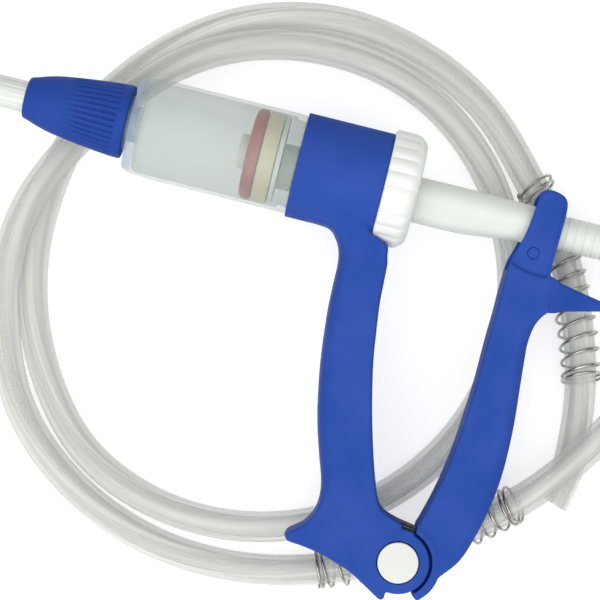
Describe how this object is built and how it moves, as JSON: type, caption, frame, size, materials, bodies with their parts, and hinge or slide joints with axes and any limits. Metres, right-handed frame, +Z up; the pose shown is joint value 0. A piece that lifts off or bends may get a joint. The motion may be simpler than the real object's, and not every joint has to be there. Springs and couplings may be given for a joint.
{
  "type": "livestock pour-on applicator",
  "caption": "Pistol-grip dosing gun with squeeze lever, translucent barrel, tapered nozzle and ringed piston rod, resting on a coiled clear draw-off hose with coil-spring guards.",
  "frame": {"origin": "centre of the pivot cap's top face", "axes": "+X along the barrel towards the rear, +Y from the pivot towards the barrel, +Z up out of the surface that the applicator lies on"},
  "size_m": [0.31, 0.2263, 0.0553],
  "materials": {
    "blue_plastic": "moulded nylon, satin with a fine grain",
    "white_plastic": "moulded acetal, satin",
    "frosted_barrel": "translucent polypropylene, slightly frosted",
    "milky_nozzle": "translucent polyethylene, milky",
    "red_seal": "moulded rubber, dull",
    "cream_piston": "moulded plastic, satin",
    "black_seal": "moulded rubber, dull",
    "spring_steel": "drawn spring wire, bright",
    "clear_hose": "clear flexible PVC, glossy"
  },
  "bodies": {
    "gun": {"handle_frame": "blue_plastic", "barrel": "frosted_barrel", "nose_nut": "blue_plastic", "nozzle_tube": "milky_nozzle", "nozzle_seal": "black_seal", "delivery_valve_seat": "white_plastic", "delivery_valve_spring": "spring_steel", "rear_cap_nut": "white_plastic", "rod_guide_bush": "white_plastic", "barrel_rear_seal": "black_seal", "pivot_pin": "white_plastic", "pivot_cap": "white_plastic", "return_spring": "spring_steel", "draw_off_hose": "clear_hose", "hose_spring_a": "spring_steel", "hose_spring_b": "spring_steel"},
    "lever": {"trigger_lever": "blue_plastic", "lever_pin": "blue_plastic", "pivot_bush": "white_plastic"},
    "rod": {"piston_rod": "white_plastic", "rod_yoke": "blue_plastic", "piston_front": "white_plastic", "piston_seal": "red_seal", "piston_body": "cream_piston", "piston_backing": "white_plastic", "inlet_valve_cage": "white_plastic", "inlet_valve_spring": "spring_steel", "inlet_spigot": "white_plastic"},
    "inlet_valve": {"inlet_valve_poppet": "white_plastic"},
    "delivery_valve": {"delivery_valve_poppet": "white_plastic"}
  },
  "joints": [
    {"name": "lever_hinge", "type": "hinge", "parent": "gun", "child": "lever", "pos_m": [-0.00066, 0, -0.01258], "axis": [0.0523, 0, 0.9986], "range_deg": [0, 17], "stiffness_Nm_per_rad": 1.5, "springref_deg": -34.38, "deforming": ["return_spring"]},
    {"name": "rod_slide", "type": "slide", "parent": "gun", "child": "rod", "axis": [-0.9986, 0, 0.0523], "range_m": [0, 0.0372]},
    {"name": "inlet_valve_lift", "type": "slide", "parent": "rod", "child": "inlet_valve", "axis": [-0.9986, 0, 0.0523], "range_m": [0, 0.0015], "stiffness_N_per_m": 30, "springref_m": -0.002, "deforming": ["inlet_valve_spring"]},
    {"name": "delivery_valve_lift", "type": "slide", "parent": "gun", "child": "delivery_valve", "axis": [-0.9986, 0, 0.0523], "range_m": [0, 0.002], "stiffness_N_per_m": 30, "springref_m": -0.002, "deforming": ["delivery_valve_spring"]}
  ],
  "couplings": [
    {"joint": "rod_slide", "follows": "lever_hinge", "m_per_rad": 0.1253}
  ]
}
